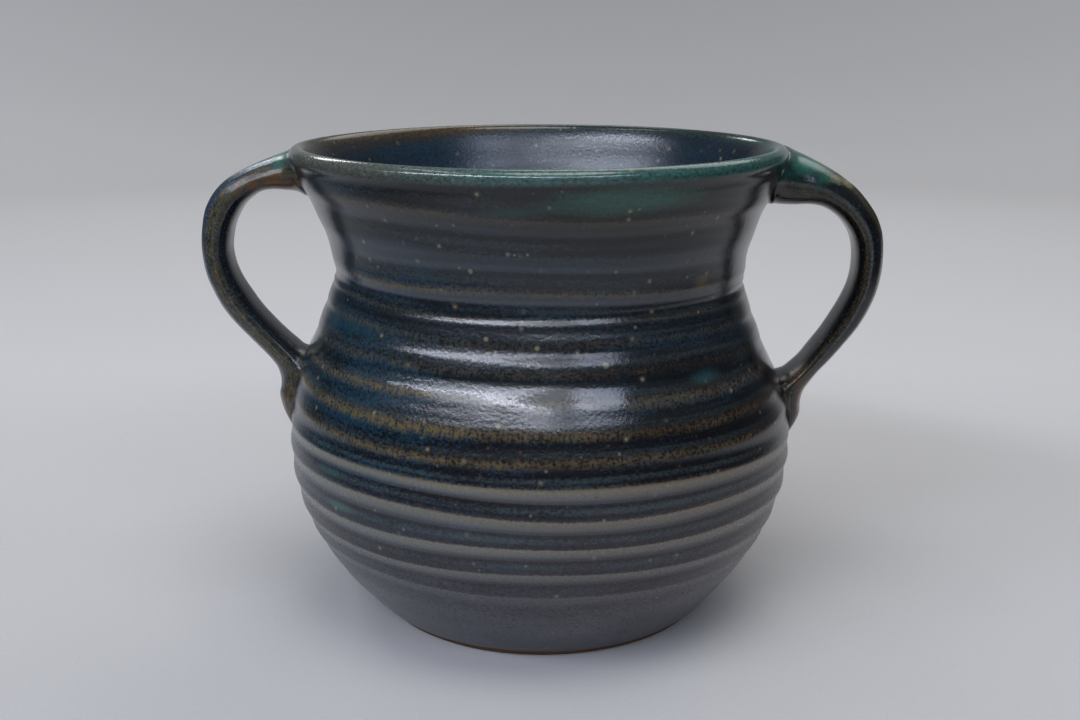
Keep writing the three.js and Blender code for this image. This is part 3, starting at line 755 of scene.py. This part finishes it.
    # a few larger grains of cream grog, each in a soft pale halo
    grog = node(tree, "TexVoronoi", {"Scale": 165.0, "Vector": spot})
    grain = node(tree, "MapRange", {"From Min": 0.085, "From Max": 0.045, "To Max": 0.6, "Value": grog})
    halo = node(tree, "MapRange", {"From Min": 0.15, "From Max": 0.07, "To Max": 0.18, "Value": grog})
    grogShare = node(tree, "Math", {"operation": "MAXIMUM", 0: grain, 1: halo})
    colour = node(tree, "Mix", {"data_type": "RGBA", 7: linear(glaze["cream"]), 0: grogShare, 6: colour},
                  output=2)
    radii, heights = zip(*body["outside"])
    for x, z, size, kindName in specks:
        wallRadius = np.interp(z, heights, radii)
        at = [x * mm, -math.sqrt(wallRadius ** 2 - x ** 2) * mm, z * mm]
        away = node(tree, "VectorMath", {"operation": "DISTANCE", 1: at, 0: spot}, output="Value")
        ragged = node(tree, "Math", {"operation": "MULTIPLY_ADD", 1: 0.9 * size * mm, 0: mottle, 2: away})
        share = node(tree, "MapRange", {"From Min": 1.4 * size * mm, "From Max": 0.9 * size * mm,
                                        "To Max": 0.6, "Value": ragged})
        colour = node(tree, "Mix", {"data_type": "RGBA", 7: linear(glaze[kindName]), 0: share, 6: colour},
                      output=2)

    # bare clay at the foot
    footEdge = node(tree, "Math", {"operation": "MULTIPLY_ADD", 1: 0.0012, 0: cloud, 2: placeZ})
    bare = node(tree, "MapRange", {"From Min": 0.0019, "From Max": 0.0014, "Value": footEdge})
    outsideOnly = node(tree, "Math", {"operation": "SUBTRACT", 0: 1.0, "use_clamp": True, 1: inner})
    bareShare = node(tree, "Math", {"operation": "MULTIPLY", 0: bare, 1: outsideOnly})
    colour = node(tree, "Mix", {"data_type": "RGBA", 7: linear(glaze["clay"]), 0: bareShare, 6: colour},
                  output=2)
    tree.links.new(colour, shader.inputs["Base Color"])

    # glossiest on the crest of the shoulder, where the glaze ran thin
    roughBy = bandsFrom(tree, level, [(0, 0.24), (48, 0.2), (60, 0.15), (64.2, 0.15), (66.6, 0.06),
                                      (67.4, 0.06), (70.4, 0.15), (100, 0.14), (113, 0.12), (115, 0.06)],
                        levelSpan)
    rough = node(tree, "Math", {"operation": "MULTIPLY_ADD", 1: 0.12, 0: mottle, 2: roughBy})
    roughIn = node(tree, "Math", {"operation": "MULTIPLY_ADD", 1: 0.1, 0: inner, 2: rough})
    roughAll = node(tree, "Mix", {3: 0.85, 0: bareShare, 2: roughIn})
    tree.links.new(roughAll, shader.inputs["Roughness"])
    shader.inputs["IOR"].default_value = 1.52
    peel = node(tree, "TexNoise", {"Scale": 1000 / glaze["peel"], "Detail": 2.0, "Vector": spot})
    lines = node(tree, "Mapping", {"Scale": (0.05, 0.05, 1.0), "Vector": spot})
    fine = node(tree, "TexNoise", {"Scale": 700.0, "Detail": 2.0, "Vector": lines})
    # the same crest is also the smoothest place
    peelBy = bandsFrom(tree, level, [(0, 0.6), (64.2, 0.6), (66.6, 0.3), (67.4, 0.3), (70.4, 0.6)],
                       levelSpan)
    rise = node(tree, "Bump", {"Distance": 0.00008, "Height": peel, "Strength": peelBy})
    rise2 = node(tree, "Bump", {"Distance": 0.00003, "Height": fine, "Normal": rise, "Strength": peelBy})
    tree.links.new(rise2, shader.inputs["Normal"])
    piece.data.materials.append(made)


# bands of colour over the strap, from its outer face (0) round its edge (0.5) to its inner face (1)
strapGlaze = {
    "left": {"bands": [(0.0, "#1a2a39"), (0.2, "#203446"), (0.34, "#1c2f3d"), (0.42, "#1d2823"),
                       (0.5, "#1d2220"), (0.57, "#1b2124"), (0.64, "#1c2226"), (0.8, "#14181c")],
             "ochre": [(0.22, 0.0), (0.34, 0.9), (0.46, 1.0), (0.52, 0.5), (0.58, 0.5), (0.63, 0.0)],
             "ragged": (0.14, 0.18), "crest": 0.505, "grain": 0.55, "runs": leftRuns,
             "rough": (0.14, 0.26)},
    # on the right strap the lighter band at 0.51 is a painted highlight along the ridge
    "right": {"bands": [(0.0, "#2f2b1a"), (0.26, "#2e2a1a"), (0.34, "#10120f"), (0.4, "#080b0e"),
                        (0.47, "#0a0e11"), (0.51, "#24282a"), (0.55, "#191610"), (0.63, "#1a1610"),
                        (0.69, "#0f0b08"), (0.8, "#0b0b0e")],
              "ochre": [(0.5, 0.0), (0.55, 0.3), (0.64, 0.3), (0.68, 0.0)], "ragged": (0.05, 0.06),
              "crest": 0.512, "grain": 0.1, "runs": rightRuns, "rough": (0.1, 0.2)},
    "ochreTone": "#54482a", "crestTone": "#5c5e56", "grainTone": "#48627c",
}


def glazeHandle(piece, name):
    settings = strapGlaze[name]
    made, tree, shader = newMaterial("satin_glazed_strap_" + name)  # the same glaze, drawn out in lines
    spot = node(tree, "TexCoord", output="Object")
    across = node(tree, "Attribute", {"attribute_name": "across"}, output="Fac")
    along = node(tree, "Attribute", {"attribute_name": "along"}, output="Fac")
    mottle = node(tree, "TexNoise", {"Scale": 1000 / glaze["mottle"], "Detail": 3.0, "Roughness": 0.6,
                                     "Vector": spot})
    cloud = node(tree, "TexNoise", {"Scale": 260.0, "Detail": 3.0, "Vector": spot})
    # fine lines drawn along the strap by wet fingers
    lineAcross = node(tree, "Math", {"operation": "MULTIPLY", 1: 34.0, 0: across})
    lineAlong = node(tree, "Math", {"operation": "MULTIPLY", 1: 5.0, 0: along})
    flat = node(tree, "CombineXYZ", {0: lineAcross, 1: lineAlong})
    pulled = node(tree, "TexNoise", {"Scale": 1.0, "Detail": 4.0, "Roughness": 0.65, "Vector": flat})

    fineEdge, wideEdge = settings["ragged"]
    nudge = node(tree, "Math", {"operation": "MULTIPLY_ADD", 1: fineEdge, 0: mottle, 2: across})
    nudged = node(tree, "Math", {"operation": "MULTIPLY_ADD", 1: wideEdge, 0: cloud, 2: nudge})
    shifted = node(tree, "Math", {"operation": "SUBTRACT", 1: (fineEdge + wideEdge) / 2, 0: nudged})
    plain = bandsFrom(tree, shifted, settings["bands"])
    # ochre in patches where the glaze broke, stretched a little along the strap
    patchAcross = node(tree, "Math", {"operation": "MULTIPLY", 1: 5.0, 0: across})
    patchAlong = node(tree, "Math", {"operation": "MULTIPLY", 1: 16.0, 0: along})
    patchAt = node(tree, "CombineXYZ", {0: patchAcross, 1: patchAlong})
    patch = node(tree, "TexNoise", {"Scale": 2.2, "Detail": 3.0, "Roughness": 0.65, "Vector": patchAt})
    patchShare = node(tree, "MapRange", {"From Min": 0.36, "From Max": 0.66, "Value": patch})
    ochreBy = bandsFrom(tree, shifted, settings["ochre"])
    ochreShare = node(tree, "Math", {"operation": "MULTIPLY", 0: ochreBy, 1: patchShare})
    # pale blue grains, most of them on the outer half
    grainBy = bandsFrom(tree, across, [(0.0, settings["grain"]), (0.4, settings["grain"]), (0.6, 0.15)])
    grains = node(tree, "MapRange", {"From Min": 0.54, "From Max": 0.68, "Value": mottle})
    grainShare = node(tree, "Math", {"operation": "MULTIPLY", 0: grainBy, 1: grains})
    plain = node(tree, "Mix", {"data_type": "RGBA", 7: linear(strapGlaze["grainTone"]), 0: grainShare,
                               6: plain}, output=2)
    tone = node(tree, "Mix", {"data_type": "RGBA", 7: linear(strapGlaze["ochreTone"]), 0: ochreShare,
                              6: plain}, output=2)
    # a pale line painted along the middle ridge, a painted highlight
    crestAt = settings["crest"]
    crest = bandsFrom(tree, across, [(crestAt - 0.02, 0.0), (crestAt, 0.75), (crestAt + 0.02, 0.0)])
    crestShare = node(tree, "Math", {"operation": "MULTIPLY", 0: crest, 1: cloud})
    tone = node(tree, "Mix", {"data_type": "RGBA", 7: linear(strapGlaze["crestTone"]), 0: crestShare,
                              6: tone}, output=2)
    light = node(tree, "MapRange", {"From Min": 0.3, "From Max": 0.72, "To Min": 0.5, "To Max": 1.5,
                                    "Value": mottle})
    lines = node(tree, "MapRange", {"From Min": 0.35, "From Max": 0.65, "To Min": 0.9, "To Max": 1.12,
                                    "Value": pulled})
    both = node(tree, "Math", {"operation": "MULTIPLY", 0: light, 1: lines})
    colour = node(tree, "VectorMath", {"operation": "SCALE", 0: tone, "Scale": both})
    rag = node(tree, "Mix", {"Factor": 0.6, 2: mottle, 3: cloud})
    colour = addRuns(tree, colour, spot, rag, settings["runs"])
    tree.links.new(colour, shader.inputs["Base Color"])
    rough = node(tree, "MapRange", {"From Min": 0.35, "From Max": 0.65, "To Min": settings["rough"][0],
                                    "To Max": settings["rough"][1], "Value": pulled})
    tree.links.new(rough, shader.inputs["Roughness"])
    shader.inputs["IOR"].default_value = 1.52
    peel = node(tree, "TexNoise", {"Scale": 1000 / glaze["peel"], "Detail": 2.0, "Vector": spot})
    rise = node(tree, "Bump", {"Strength": 0.45, "Distance": 0.00008, "Height": peel})
    rise2 = node(tree, "Bump", {"Strength": 0.4, "Distance": 0.0002, "Height": pulled, "Normal": rise})
    tree.links.new(rise2, shader.inputs["Normal"])
    piece.data.materials.append(made)


glazeBody(pot)
glazeHandle(leftHandle, "left")
glazeHandle(rightHandle, "right")
print("glazed")
